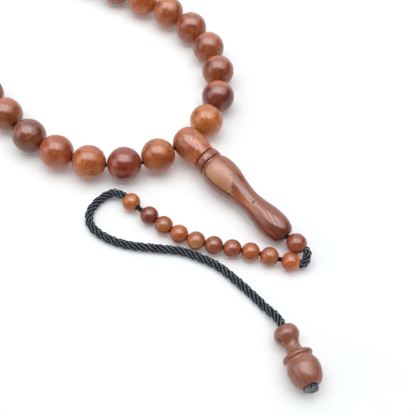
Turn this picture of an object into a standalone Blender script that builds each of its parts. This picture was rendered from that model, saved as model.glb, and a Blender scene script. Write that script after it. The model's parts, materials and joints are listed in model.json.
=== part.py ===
"""Misbaha prayer beads lying on a table: a loop of turned wooden beads that closes
at a two-part imam, whose cord goes on through small counter beads to a rope tail."""

import math

import bmesh
import bpy
from mathutils import Matrix, Vector
from mathutils.geometry import interpolate_bezier

# Loop of main beads, in metres
BEAD_DIAMETER = 0.0101
BEADS_PER_SECTION = 11
SECTIONS = 3
RIGHT_OF_SLACK = 10
BEAD_GAP = 0.0002
LOOSE_BEAD = 28
LOOSE_BEAD_GAP = 0.0008
SEPARATOR_DIAMETER = 0.0078
SEPARATOR_LENGTH = 0.0034
LOOP_CORD_DIAMETER = 0.0012
LOOP_CORD_CLEARANCE = 0.0004

# Imam head, along its axis from the rounded free end to the seat on the stem
HEAD_DIAMETER = 0.0095
HEAD_CAP_DIAMETER = 0.0030
HEAD_SEAT_DIAMETER = 0.0074
HEAD_END_TO_HOLE = 0.0027
HEAD_HOLE_TO_BELLY = 0.0019
HEAD_BELLY_TO_SEAT = 0.0066
HEAD_HOLE_CLEARANCE = 0.0005

# Imam stem, along its axis from the collar to the tip
COLLAR_DIAMETER = 0.0084
COLLAR_THICKNESS = 0.0025
COLLAR_ROUND = 0.0006
GROOVE_DIAMETER = 0.0074
GROOVE_WIDTH = 0.0006
GROOVE_TO_BULB = 0.0039
BULB_DIAMETER = 0.0099
BULB_TO_WAIST = 0.0118
WAIST_DIAMETER = 0.0063
WAIST_TO_FOOT = 0.0091
FOOT_DIAMETER = 0.0083
FOOT_TO_TIP = 0.0058
STEM_CORD_DIAMETER = 0.0016
STEM_CORD_CLEARANCE = 0.0004
TIP_RIM = 0.0005
IMAM_TURN = math.radians(-43.1)

# Bead at the tip of the stem, and the counters
TIP_BEAD_DIAMETER = 0.0059
TIP_BEAD_SIDEWAYS = 0.0007
TIP_BEND_DEPTH = 0.0015
COUNTER_DIAMETER = 0.0053
COUNTERS = 10
COUNTER_GAP = 0.0003
COUNTER_SPARE_CORD = {2: 0.0016, 9: 0.0002, 10: 0.0008}
COUNTER_CORD_DIAMETER = 0.0015
COUNTER_CORD_CLEARANCE = 0.0003

# Rope tail and the finial at its end
KNOT_DIAMETER = 0.0026
KNOT_REACH = 0.0016
ROPE_DIAMETER = 0.0026
ROPE_CLEARANCE = 0.00025
ROPE_RISE = 0.0090
FINIAL_LIP = 0.0004
KNOB_DIAMETER = 0.0068
TOP_TO_KNOB = 0.0022
KNOB_TO_NECK = 0.0033
NECK_WALL = 0.0005
NECK_TO_FLANGE = 0.0024
FLANGE_DIAMETER = 0.0084
FLANGE_THICKNESS = 0.0006
FLANGE_TO_GROOVE = 0.0006
FINIAL_GROOVE_DIAMETER = 0.0077
GROOVE_TO_FINIAL_BULB = 0.0032
FINIAL_BULB_DIAMETER = 0.0087
FINIAL_BULB_TO_END = 0.0043
FINIAL_END_DIAMETER = 0.0046
FINIAL_TURN = math.radians(-64.1)
SEAL_DIAMETER = 0.0040
SEAL_THICKNESS = 0.0016
SEAL_ROUND = 0.0003

# Gap that keeps two meeting faces apart
FACE_GAP = 0.0003

# Facets
BEAD_SEGMENTS = 16
BEAD_ARCS = 8
COUNTER_SEGMENTS = 12
COUNTER_ARCS = 6
TURNED_SEGMENTS = 16
CURVE_STEPS = 6
ROUTE_STEPS = 24
DRILL_SEGMENTS = 12
SHARP_FROM = math.radians(40)
CORD_ARC_STEPS = 2
KNOT_STEPS = 12
ROPE_POINT_SPACING = 2.0

# Route of the loop from the imam's side hole, out along its right arm and back along
# its left one, counted in bead pitches
LOOP_ROUTE = [
    (0.00, 0.00), (0.60, 0.66), (0.85, 1.58), (0.82, 2.67), (0.46, 3.60), (-0.17, 4.41),
    (-0.98, 5.05), (-1.86, 5.43), (-2.76, 5.85), (-4.42, 6.66), (-6.07, 7.47),
    (-7.72, 8.27), (-9.20, 8.98), (-10.27, 9.23), (-11.34, 8.98), (-12.20, 8.29),
    (-12.67, 7.29), (-12.65, 6.22), (-11.98, 5.26), (-10.92, 4.46), (-9.60, 3.60),
    (-8.20, 2.72), (-7.02, 1.90), (-6.03, 1.13), (-5.32, 0.37), (-4.52, -0.32),
    (-3.64, -0.79), (-2.66, -1.08), (-1.62, -1.03), (-0.68, -0.67), (0.00, 0.00),
]
HEAD_LEAD = 1.5

# Route of the tail on the table, in metres from the stem's tip: the counters, then the rope
TAIL_ROUTE = [
    (0.0043, -0.0073), (0.0016, -0.0071), (-0.0043, -0.0058), (-0.0096, -0.0049),
    (-0.0146, -0.0044), (-0.0197, -0.0040), (-0.0248, -0.0031), (-0.0298, -0.0015),
    (-0.0345, 0.0010), (-0.0391, 0.0039), (-0.0445, 0.0074), (-0.0470, 0.0094),
    (-0.0502, 0.0104), (-0.0536, 0.0083), (-0.0559, 0.0040), (-0.0549, -0.0004),
    (-0.0503, -0.0037), (-0.0440, -0.0054), (-0.0366, -0.0057), (-0.0292, -0.0059),
    (-0.0232, -0.0075), (-0.0179, -0.0098), (-0.0125, -0.0138), (-0.0080, -0.0176),
    (-0.0037, -0.0216), (-0.0018, -0.0237),
]
FINIAL_TOP = (-0.0003, -0.0265)

# Tones of the polished wood, from the photographed beads
WOOD_COLOURS = {
    "light": (0.42, 0.15, 0.050),
    "mid": (0.27, 0.085, 0.034),
    "dark": (0.13, 0.034, 0.022),
}
LOOP_TONES = ("light dark mid mid dark light mid mid dark mid light "
              "mid dark mid light mid dark mid mid light dark mid "
              "light mid dark mid mid mid dark mid light dark light").split()
COUNTER_TONES = "light dark mid light mid dark mid mid mid light".split()
STEM_COLOUR = (0.25, 0.085, 0.045)
FINIAL_COLOUR = (0.22, 0.085, 0.060)
CORD_COLOUR = (0.012, 0.012, 0.015)
POLISHED = 0.28
SATIN = 0.45
TEXTILE = 0.85

BEADS = BEADS_PER_SECTION * SECTIONS
BEAD_PITCH = BEAD_DIAMETER + BEAD_GAP
UP = Vector((0, 0, 1))


def clear_scene():
    for old in list(bpy.data.objects):
        bpy.data.objects.remove(old, do_unlink=True)


def surface(name, colour, roughness):
    material = bpy.data.materials.new(name)
    material.use_nodes = True
    shader = material.node_tree.nodes["Principled BSDF"]
    shader.inputs["Base Color"].default_value = (*colour, 1)
    shader.inputs["Roughness"].default_value = roughness
    shader.inputs["Metallic"].default_value = 0
    return material


def smooth_points(points):
    """Points on a Catmull-Rom curve through all of the given ones."""
    points = [Vector(point) for point in points]
    ends = [2 * points[0] - points[1]] + points + [2 * points[-1] - points[-2]]
    found = []
    for before, start, end, after in zip(ends, ends[1:], ends[2:], ends[3:]):
        for step in range(ROUTE_STEPS):
            t = step / ROUTE_STEPS
            found.append(0.5 * (
                2 * start + (end - before) * t
                + (2 * before - 5 * start + 4 * end - after) * t ** 2
                + (3 * start - before - 3 * end + after) * t ** 3))
    return found + [points[-1]]


class Route:
    """A smooth line that a cord follows, read by the distance along it."""

    def __init__(self, points):
        self.points = smooth_points(points)
        self.reach = [0.0]
        for start, end in zip(self.points, self.points[1:]):
            self.reach.append(self.reach[-1] + (end - start).length)
        self.length = self.reach[-1]

    def at(self, distance):
        for index in range(1, len(self.reach)):
            if distance <= self.reach[index] or index == len(self.reach) - 1:
                start, end = self.points[index - 1], self.points[index]
                span = self.reach[index] - self.reach[index - 1]
                return start.lerp(end, (distance - self.reach[index - 1]) / span)

    def turn(self, start, end):
        """How far the route swings round between two places on it."""
        step = self.length / len(self.points)
        first = self.at(start + step) - self.at(start - step)
        return first.angle(self.at(end + step) - self.at(end - step))


def add_object(name, data, parent, material):
    thing = bpy.data.objects.new(name, data)
    bpy.context.scene.collection.objects.link(thing)
    thing.parent = parent
    data.materials.append(material)
    return thing


def turned(name, outline, segments, parent, material, bored=True):
    """A body turned about its own Z. The outline runs along the outer side, and a bored
    one closes along its bore."""
    shape = bmesh.new()
    rings = []
    for radius, height in outline:
        turns = [2 * math.pi * step / segments for step in range(segments)]
        rings.append([
            shape.verts.new((radius * math.cos(turn), radius * math.sin(turn), height))
            for turn in turns])
    for ring, following in zip(rings, rings[1:] + rings[:1] if bored else rings[1:]):
        for step in range(segments):
            after = (step + 1) % segments
            shape.faces.new((ring[step], ring[after], following[after], following[step]))
    if not bored:
        shape.faces.new(rings[0])
        shape.faces.new(rings[-1])
    bmesh.ops.recalc_face_normals(shape, faces=shape.faces)
    mesh = bpy.data.meshes.new(name)
    shape.to_mesh(mesh)
    shape.free()
    mesh.shade_smooth()
    mesh.set_sharp_from_angle(angle=SHARP_FROM)
    return add_object(name, mesh, parent, material)


def tube(name, points, diameter, parent, material):
    """A round cord through the points, with closed ends."""
    data = bpy.data.curves.new(name, "CURVE")
    data.dimensions = "3D"
    data.bevel_depth = diameter / 2
    data.bevel_resolution = CORD_ARC_STEPS
    data.use_fill_caps = True
    spline = data.splines.new("POLY")
    spline.points.add(len(points) - 1)
    for point, place in zip(spline.points, points):
        point.co = (*place, 1)
    return add_object(name, data, parent, material)


def string_on(thing, start, end):
    """Sets a piece midway on a straight stretch of cord, its bore along the stretch."""
    thing.location = (start + end) / 2
    thing.rotation_mode = "QUATERNION"
    thing.rotation_quaternion = (end - start).to_track_quat("Z", "Y")


def swell(outline, radius, height):
    """Carries an outline on to a new radius in a half wave, level at both ends."""
    first_radius, first_height = outline[-1]
    for step in range(1, CURVE_STEPS + 1):
        share = step / CURVE_STEPS
        blend = (1 - math.cos(math.pi * share)) / 2
        outline.append((
            first_radius + (radius - first_radius) * blend,
            first_height + (height - first_height) * share))


def round_over(outline, radius, height):
    """Closes an outline in a quarter of an ellipse, level where it starts."""
    first_radius, first_height = outline[-1]
    for step in range(1, CURVE_STEPS + 1):
        turn = math.pi / 2 * step / CURVE_STEPS
        outline.append((
            radius + (first_radius - radius) * math.cos(turn),
            first_height + (height - first_height) * math.sin(turn)))


def round_out(outline, radius, height):
    """Opens an outline in a quarter of an ellipse, level where it ends."""
    first_radius, first_height = outline[-1]
    for step in range(1, CURVE_STEPS + 1):
        turn = math.pi / 2 * step / CURVE_STEPS
        outline.append((
            first_radius + (radius - first_radius) * math.sin(turn),
            height - (height - first_height) * math.cos(turn)))


def bead_outline(diameter, bore, arcs):
    """A ball with a straight bore along Z."""
    widest = math.asin(bore / diameter)
    turns = [widest + (math.pi - 2 * widest) * step / arcs for step in range(arcs + 1)]
    return [(diameter / 2 * math.sin(turn), diameter / 2 * math.cos(turn)) for turn in turns]


def rim(diameter, bore):
    """How far the edge of a bead's bore lies from the bead's centre."""
    return math.sqrt(diameter ** 2 - bore ** 2) / 2


def separator_outline(bore):
    """A small flattened bead with flat sides round its bore."""
    half = SEPARATOR_LENGTH / 2
    shoulder = (bore + SEPARATOR_DIAMETER) / 4
    outline = [(bore / 2, -half), (shoulder, -half)]
    arcs = BEAD_ARCS - 2
    for step in range(1, arcs + 1):
        turn = math.pi * step / arcs
        bulge = (SEPARATOR_DIAMETER / 2 - shoulder) * math.sin(turn)
        outline.append((shoulder + bulge, -half * math.cos(turn)))
    return outline + [(bore / 2, half)]


def head_outline():
    belly = HEAD_HOLE_TO_BELLY
    cap_radius = HEAD_CAP_DIAMETER / 2
    rounded = [(HEAD_DIAMETER / 2, belly)]
    round_over(rounded, cap_radius, -HEAD_END_TO_HOLE)
    outline = rounded[::-1]
    seat_share = HEAD_SEAT_DIAMETER / HEAD_DIAMETER
    seat_turn = math.acos(seat_share)
    for step in range(1, CURVE_STEPS + 1):
        turn = seat_turn * step / CURVE_STEPS
        outline.append((
            HEAD_DIAMETER / 2 * math.cos(turn),
            belly + HEAD_BELLY_TO_SEAT * math.sin(turn) / math.sin(seat_turn)))
    return outline


def stem_outline(bore):
    collar, groove = COLLAR_DIAMETER / 2, GROOVE_DIAMETER / 2
    outline = [(bore / 2, 0), (collar - COLLAR_ROUND, 0), (collar, COLLAR_ROUND)]
    outline += [(collar, COLLAR_THICKNESS - COLLAR_ROUND)]
    outline += [(collar - COLLAR_ROUND, COLLAR_THICKNESS), (groove, COLLAR_THICKNESS)]
    outline += [(groove, COLLAR_THICKNESS + GROOVE_WIDTH)]
    reach = COLLAR_THICKNESS + GROOVE_WIDTH + GROOVE_TO_BULB
    round_out(outline, BULB_DIAMETER / 2, reach)
    for diameter, length in ((WAIST_DIAMETER, BULB_TO_WAIST), (FOOT_DIAMETER, WAIST_TO_FOOT)):
        reach += length
        swell(outline, diameter / 2, reach)
    round_over(outline, bore / 2 + TIP_RIM, reach + FOOT_TO_TIP)
    return outline + [(bore / 2, reach + FOOT_TO_TIP)]


def finial_outline(bore):
    outline = [(KNOB_DIAMETER / 2, TOP_TO_KNOB)]
    round_over(outline, bore / 2 + FINIAL_LIP, 0)
    outline = [(bore / 2, 0)] + outline[::-1]
    reach = TOP_TO_KNOB + KNOB_TO_NECK
    swell(outline, bore / 2 + NECK_WALL, reach)
    reach += NECK_TO_FLANGE
    neck_radius, neck_height = outline[-1]
    for step in range(1, CURVE_STEPS + 1):
        turn = math.pi / 2 * step / CURVE_STEPS
        outline.append((
            FLANGE_DIAMETER / 2 - (FLANGE_DIAMETER / 2 - neck_radius) * math.cos(turn),
            neck_height + (reach - neck_height) * math.sin(turn)))
    outline.append((FLANGE_DIAMETER / 2, reach + FLANGE_THICKNESS))
    reach += FLANGE_THICKNESS + FLANGE_TO_GROOVE
    outline.append((FINIAL_GROOVE_DIAMETER / 2, reach))
    reach += GROOVE_TO_FINIAL_BULB
    swell(outline, FINIAL_BULB_DIAMETER / 2, reach)
    reach += FINIAL_BULB_TO_END
    round_over(outline, FINIAL_END_DIAMETER / 2, reach)
    return outline + [(bore / 2, reach)]


def drill(name, diameter, start, end, parent, material):
    """A hidden cutter from start to end, given on its parent's axes."""
    half = (end - start).length / 2
    outline = [(diameter / 2, -half), (diameter / 2, half)]
    cutter = turned(name, outline, DRILL_SEGMENTS, parent, material, bored=False)
    string_on(cutter, start, end)
    cutter.hide_render = True
    cutter.display_type = "WIRE"
    return cutter


def cut(thing, cutter):
    boolean = thing.modifiers.new(cutter.name, "BOOLEAN")
    boolean.operation = "DIFFERENCE"
    boolean.solver = "EXACT"
    boolean.object = cutter


def imam_frame(parent):
    """An empty where the side hole meets the imam's axis. Its Z runs down the stem, and
    the stem's bulb and foot both touch the table."""
    seat = HEAD_HOLE_TO_BELLY + HEAD_BELLY_TO_SEAT + FACE_GAP
    bulb_at = seat + COLLAR_THICKNESS + GROOVE_WIDTH + GROOVE_TO_BULB
    dip = math.asin((BULB_DIAMETER - FOOT_DIAMETER) / 2 / (BULB_TO_WAIST + WAIST_TO_FOOT))
    along = Vector((
        math.cos(IMAM_TURN) * math.cos(dip), math.sin(IMAM_TURN) * math.cos(dip), -math.sin(dip)))
    across = UP.cross(along).normalized()
    height = BULB_DIAMETER / 2 / math.cos(dip) + bulb_at * math.sin(dip)
    axes = Matrix((across, along.cross(across), along)).transposed().to_4x4()
    empty = bpy.data.objects.new("imam_axis", None)
    bpy.context.scene.collection.objects.link(empty)
    empty.parent = parent
    empty.matrix_basis = Matrix.Translation((0, 0, height)) @ axes
    return empty, seat


def loop_stations(route):
    """Where each piece of the loop begins and ends along the route, by name. The beads
    fill it from both sides of the imam's head, clear of the head's belly, and the slack
    is what is left between them."""
    def pitch(reach, ahead):
        return BEAD_PITCH / math.cos(route.turn(reach, reach + ahead) / 2)

    apart = BEAD_DIAMETER / 2 + FACE_GAP
    beside = HEAD_DIAMETER / 2 + math.sqrt(apart ** 2 - HEAD_HOLE_TO_BELLY ** 2)
    reach = beside - BEAD_PITCH / 2
    stations = {}
    for number in range(1, RIGHT_OF_SLACK + 1):
        start = reach
        reach += pitch(start, BEAD_PITCH)
        stations[f"bead_{number:02d}"] = (start, reach)
    reach = route.length - (beside - BEAD_PITCH / 2)
    for number in range(BEADS, RIGHT_OF_SLACK, -1):
        end = reach
        reach -= pitch(end, -BEAD_PITCH)
        stations[f"bead_{number:02d}"] = (reach, end)
        if number == LOOSE_BEAD + 1:
            reach -= LOOSE_BEAD_GAP
        if number % BEADS_PER_SECTION == 1:
            section = number // BEADS_PER_SECTION
            end = reach
            reach -= SEPARATOR_LENGTH + BEAD_GAP
            stations[f"separator_{section:02d}"] = (reach, end)
    return dict(sorted(stations.items(), key=lambda item: item[1]))


def lift_to_head(points, route, height):
    """Raises the loop's ends from the beads' height to the imam's side hole."""
    lead = HEAD_LEAD * BEAD_PITCH
    raised = []
    for distance, point in points:
        near = min(distance, route.length - distance)
        share = max(0, 1 - near / lead)
        raised.append(Vector((point.x, point.y, BEAD_DIAMETER / 2 + share * (height - BEAD_DIAMETER / 2))))
    return raised


def make_loop(parent, hole_height, tones, cord_material):
    route = Route([Vector((x, y, 0)) * BEAD_PITCH for x, y in LOOP_ROUTE])
    stations = loop_stations(route)
    bore = LOOP_CORD_DIAMETER + 2 * LOOP_CORD_CLEARANCE
    ends = STEM_CORD_DIAMETER / 2 + FACE_GAP
    marks = sorted({ends, route.length - ends}.union(*stations.values()))
    places = lift_to_head([(mark, route.at(mark)) for mark in marks], route, hole_height)
    place_of = dict(zip(marks, places))
    for name, (start, end) in stations.items():
        if name.startswith("separator"):
            outline, material = separator_outline(bore), tones["dark"]
        else:
            outline = bead_outline(BEAD_DIAMETER, bore, BEAD_ARCS)
            material = tones[LOOP_TONES[int(name[-2:]) - 1]]
        piece = turned(name, outline, BEAD_SEGMENTS, parent, material)
        string_on(piece, place_of[start], place_of[end])
    tube("loop_cord", places, LOOP_CORD_DIAMETER, parent, cord_material)


def make_imam(parent, material, cord_material):
    """The head on its seat, the stem under it and the cord down the stem. Returns the
    stem's tip, and the cord's end past the bead there with its heading."""
    axis, seat = imam_frame(parent)
    head = turned("imam_head", head_outline(), TURNED_SEGMENTS, axis, material, bored=False)
    beyond = Vector((HEAD_DIAMETER, 0, 0))
    cross = LOOP_CORD_DIAMETER + 2 * HEAD_HOLE_CLEARANCE
    cut(head, drill("side_hole", cross, -beyond, beyond, axis, material))
    bore = STEM_CORD_DIAMETER + 2 * STEM_CORD_CLEARANCE
    cut(head, drill("stem_hole", bore, Vector(), UP * 2 * seat, axis, material))
    outline = stem_outline(bore)
    stem = turned("imam_stem", outline, TURNED_SEGMENTS, axis, material)
    stem.location = UP * seat
    tip = seat + outline[-1][1]
    radius = TIP_BEAD_DIAMETER / 2
    bend = UP * (tip - TIP_BEND_DEPTH)
    centre = Vector((TIP_BEAD_SIDEWAYS, 0, tip + FACE_GAP + radius))
    heading = (centre - bend).normalized()
    bead = turned("stem_end_bead", bead_outline(TIP_BEAD_DIAMETER, bore, BEAD_ARCS),
                  COUNTER_SEGMENTS, axis, material)
    string_on(bead, centre - heading * radius, centre + heading * radius)
    top = -UP * LOOP_CORD_DIAMETER / 2
    end = centre + heading * rim(TIP_BEAD_DIAMETER, bore)
    cord = [top, UP * seat, UP * (seat + bend.z) / 2, bend, end]
    tube("stem_cord", cord, STEM_CORD_DIAMETER, axis, cord_material)
    place = axis.matrix_basis
    return place @ (UP * tip), place @ end, (place.to_3x3() @ heading).normalized()


def counter_stations(bore):
    """Where each counter begins and ends along the tail, with the last one first. Bare
    cord shows where a counter stands off from the one before it."""
    reach = FACE_GAP
    stations = {}
    for number in range(COUNTERS, 0, -1):
        pitch = 2 * rim(COUNTER_DIAMETER, bore) + COUNTER_GAP
        stations[f"counter_{number:02d}"] = (reach, reach + pitch)
        reach += pitch
        reach += COUNTER_SPARE_CORD.get(number, 0)
    return stations


def finial_axis(tip, outline):
    """The finial's top and the direction of its bore, with its knob and its bulb both
    on the table."""
    reach = KNOB_TO_NECK + NECK_TO_FLANGE + FLANGE_THICKNESS + FLANGE_TO_GROOVE + GROOVE_TO_FINIAL_BULB
    rise = math.asin((FINIAL_BULB_DIAMETER - KNOB_DIAMETER) / 2 / reach)
    along = Vector((
        math.cos(FINIAL_TURN) * math.cos(rise), math.sin(FINIAL_TURN) * math.cos(rise), math.sin(rise)))
    height = max(radius * math.cos(rise) - along.z * distance for radius, distance in outline)
    return Vector((tip.x + FINIAL_TOP[0], tip.y + FINIAL_TOP[1], height)), along


def make_tail(parent, tip, cord_end, cord_heading, tones, finial_material, cord_material):
    bore = ROPE_DIAMETER + 2 * ROPE_CLEARANCE
    outline = finial_outline(bore)
    length = outline[-1][1]
    top, along = finial_axis(tip, outline)
    finial = turned("finial", outline, TURNED_SEGMENTS, parent, finial_material)
    string_on(finial, top, top + along)
    finial.location = top

    ground = [Vector((tip.x + x, tip.y + y, 0)) for x, y in TAIL_ROUTE]
    route = Route(ground + [top.xy.to_3d(), (top + along * length).xy.to_3d()])
    first_end, last_end, last_heading = make_counters(parent, route, tones, cord_material)
    make_knot(parent, cord_end, cord_heading, last_end, last_heading, cord_material)
    make_rope(parent, route, first_end, top, along, length, cord_material)


def make_counters(parent, route, tones, cord_material):
    """The counters and their cord. Returns how far along the route the cord ends past the
    first counter, and its end and heading past the last one."""
    bore = COUNTER_CORD_DIAMETER + 2 * COUNTER_CORD_CLEARANCE
    stations = counter_stations(bore)
    marks = sorted({mark for station in stations.values() for mark in station})
    marks[0] += COUNTER_GAP / 2
    marks[-1] -= COUNTER_GAP / 2
    height = UP * COUNTER_DIAMETER / 2
    for name, (start, end) in stations.items():
        counter = turned(name, bead_outline(COUNTER_DIAMETER, bore, COUNTER_ARCS),
                         COUNTER_SEGMENTS, parent, tones[COUNTER_TONES[int(name[-2:]) - 1]])
        string_on(counter, route.at(start) + height, route.at(end) + height)
    cord = [route.at(mark) + height for mark in marks]
    tube("counter_cord", cord, COUNTER_CORD_DIAMETER, parent, cord_material)
    return marks[-1], cord[0], (cord[0] - cord[1]).normalized()


def level(share):
    """Eases a share from 0 to 1, flat at both ends."""
    share = min(1, max(0, share))
    return share ** 2 * (3 - 2 * share)


def make_knot(parent, start, start_heading, end, end_heading, cord_material):
    """The short doubled-back cord between the bead at the tip and the last counter."""
    start += start_heading * FACE_GAP
    end += end_heading * FACE_GAP
    out, back = start + start_heading * KNOT_REACH, end + end_heading * KNOT_REACH
    points = interpolate_bezier(start, out, back, end, KNOT_STEPS)
    tube("junction_knot", points, KNOT_DIAMETER, parent, cord_material)


def make_rope(parent, route, start, top, along, length, cord_material):
    """The rope from the first counter to the far face of the finial, and its sealed end."""
    start += FACE_GAP
    end = route.length - length
    low = ROPE_DIAMETER / 2
    count = round((end - start) / (ROPE_POINT_SPACING * ROPE_DIAMETER))
    distances = [start, start + ROPE_DIAMETER / 2]
    distances += [start + (end - start) * step / count for step in range(1, count)]
    points = []
    for distance in distances:
        lead = level(1 - (distance - start) / ROPE_RISE)
        rise = level(1 - (end - distance) / ROPE_RISE)
        height = low + (COUNTER_DIAMETER / 2 - low) * lead + (top.z - low) * rise
        points.append(route.at(distance) + UP * height)
    points += [top, top + along * length]
    tube("tail_rope", points, ROPE_DIAMETER, parent, cord_material)
    half = SEAL_DIAMETER / 2
    outline = [(half - SEAL_ROUND, 0), (half, SEAL_ROUND)]
    outline += [(half, SEAL_THICKNESS - SEAL_ROUND), (half - SEAL_ROUND, SEAL_THICKNESS)]
    seal = turned("rope_end_seal", outline, COUNTER_SEGMENTS, parent, cord_material, bored=False)
    string_on(seal, top, top + along)
    seal.location = top + along * (length + FACE_GAP)


def centre_on_table(root, cord_material):
    """Moves the whole object so that its wooden pieces are centred over the origin."""
    bpy.context.view_layer.update()
    corners = []
    for thing in bpy.data.objects:
        if thing.type == "MESH" and not thing.hide_render and thing.active_material != cord_material:
            corners += [thing.matrix_world @ vertex.co for vertex in thing.data.vertices]
    for axis in (0, 1):
        values = [corner[axis] for corner in corners]
        root.location[axis] = -(min(values) + max(values)) / 2


def main():
    clear_scene()
    root = bpy.data.objects.new("misbaha", None)
    bpy.context.scene.collection.objects.link(root)
    tones = {name: surface(f"{name}_wood", colour, POLISHED) for name, colour in WOOD_COLOURS.items()}
    stem_wood = surface("imam_wood", STEM_COLOUR, POLISHED)
    finial_wood = surface("finial_wood", FINIAL_COLOUR, SATIN)
    cord = surface("black_cord", CORD_COLOUR, TEXTILE)
    tip, cord_end, cord_heading = make_imam(root, stem_wood, cord)
    hole_height = bpy.data.objects["imam_axis"].matrix_basis.translation.z
    make_loop(root, hole_height, tones, cord)
    make_tail(root, tip, cord_end, cord_heading, tones, finial_wood, cord)
    centre_on_table(root, cord)


main()
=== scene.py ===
"""Looks of the misbaha prayer beads: turned and polished wood on a twisted black cord."""

import json
import random
from functools import partial
from itertools import accumulate, pairwise
from math import acos, asin, atan2, cos, hypot, pi, radians, sin, sqrt

import bmesh
import bpy
import numpy as np
from mathutils import Matrix, Vector, noise
from mathutils.geometry import interpolate_bezier, intersect_point_line


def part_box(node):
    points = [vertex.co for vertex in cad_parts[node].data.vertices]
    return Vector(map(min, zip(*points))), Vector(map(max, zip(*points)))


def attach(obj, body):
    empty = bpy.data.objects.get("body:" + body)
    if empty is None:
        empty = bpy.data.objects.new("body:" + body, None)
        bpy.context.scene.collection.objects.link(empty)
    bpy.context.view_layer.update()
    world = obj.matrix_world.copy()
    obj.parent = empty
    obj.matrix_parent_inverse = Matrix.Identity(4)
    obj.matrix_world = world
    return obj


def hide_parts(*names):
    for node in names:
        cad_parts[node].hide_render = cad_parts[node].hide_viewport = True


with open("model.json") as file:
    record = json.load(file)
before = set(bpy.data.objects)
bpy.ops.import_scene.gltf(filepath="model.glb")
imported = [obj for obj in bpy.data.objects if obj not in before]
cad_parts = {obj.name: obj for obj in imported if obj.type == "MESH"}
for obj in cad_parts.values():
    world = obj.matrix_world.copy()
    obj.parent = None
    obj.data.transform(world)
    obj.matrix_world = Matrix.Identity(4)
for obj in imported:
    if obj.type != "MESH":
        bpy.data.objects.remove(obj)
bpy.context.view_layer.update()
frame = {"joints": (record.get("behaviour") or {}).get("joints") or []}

JOINTS = {each["name"]: each for each in frame["joints"]}
ROOT = "cord_and_head"
UP = Vector((0, 0, 1))

# Camera, from the fit to the beads of the 416 px photograph
IMAGE_WIDTH = 416
FOCAL_PIXELS = 700
SENSOR = 36
CLIP_START = 0.001
HOLE_TO_AIM = Vector((0.008505, -0.019608))
CAMERA_DISTANCE = 0.20344
CAMERA_ELEVATION = radians(59.953)
CAMERA_ROLL = radians(5)

# Sizes in metres: the part's own, but for the bores' mouths, the cords' lay, and the finial and
# the rope's end, which are drawn a little finer
FACE_GAP = 0.0003
BEAD_DIAMETER = 0.0101
BEAD_PITCH = 0.0103
LOOP_CORD_DIAMETER = 0.0012
BEAD_MOUTH = 0.0014
SEPARATOR_DIAMETER = 0.0078
SEPARATOR_LENGTH = 0.0034
HEAD_DIAMETER = 0.0095
HEAD_CAP_DIAMETER = 0.0030
HEAD_SEAT_DIAMETER = 0.0074
HEAD_END_TO_HOLE = 0.0027
HEAD_HOLE_TO_BELLY = 0.0019
HEAD_BELLY_TO_SEAT = 0.0066
HEAD_HOLE_DIAMETER = 0.0022
COLLAR_DIAMETER = 0.0084
COLLAR_THICKNESS = 0.0025
COLLAR_ROUND = 0.0006
GROOVE_DIAMETER = 0.0074
GROOVE_WIDTH = 0.0006
GROOVE_TO_BULB = 0.0039
BULB_DIAMETER = 0.0099
BULB_TO_WAIST = 0.0118
WAIST_DIAMETER = 0.0063
WAIST_TO_FOOT = 0.0091
FOOT_DIAMETER = 0.0083
FOOT_TO_TIP = 0.0058
STEM_LENGTH = (
    COLLAR_THICKNESS + GROOVE_WIDTH + GROOVE_TO_BULB + BULB_TO_WAIST + WAIST_TO_FOOT + FOOT_TO_TIP)
STEM_CORD_DIAMETER = 0.0016
STEM_BORE = 0.0024
TIP_RIM = 0.0005
TIP_BEAD_DIAMETER = 0.0059
TIP_MOUTH = 0.0018
TIP_BEND_DEPTH = 0.0015
COUNTER_DIAMETER = 0.0053
COUNTER_CORD_DIAMETER = 0.0015
COUNTER_BORE = 0.0021
COUNTER_MOUTH = 0.0017
COUNTER_HALF = sqrt(COUNTER_DIAMETER ** 2 - COUNTER_BORE ** 2) / 2
HALF_LENGTHS = {"bead": BEAD_PITCH / 2, "separator": SEPARATOR_LENGTH / 2, "counter": COUNTER_HALF}
KNOT_DIAMETER = 0.0026
KNOT_REACH = 0.0016
ROPE_DIAMETER = 0.0026
ROPE_RISE = 0.0090
ROPE_LAY = 0.0081
YARN_LAY = 0.0017
FINIAL_BORE = 0.0031
FINIAL_LIP = 0.0004
KNOB_DIAMETER = 0.0068
TOP_TO_KNOB = 0.0023
KNOB_TO_NECK = 0.0034
NECK_WALL = 0.0004
NECK_TO_FLANGE = 0.0022
FLANGE_SHOULDER = 0.0032
FLANGE_DIAMETER = 0.0082
FLANGE_ROUND = 0.0009
FLANGE_THICKNESS = 0.0002
FLANGE_TO_GROOVE = 0.0005
FINIAL_GROOVE_DIAMETER = 0.0073
GROOVE_TO_FINIAL_BULB = 0.0025
FINIAL_BULB_DIAMETER = 0.0087
FINIAL_BULB_TO_END = 0.0049
FINIAL_END_DIAMETER = 0.0042
SEAL_DIAMETER = 0.0042
SEAL_LENGTH = 0.0013
SEAL_GAP = 0.00005

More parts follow.
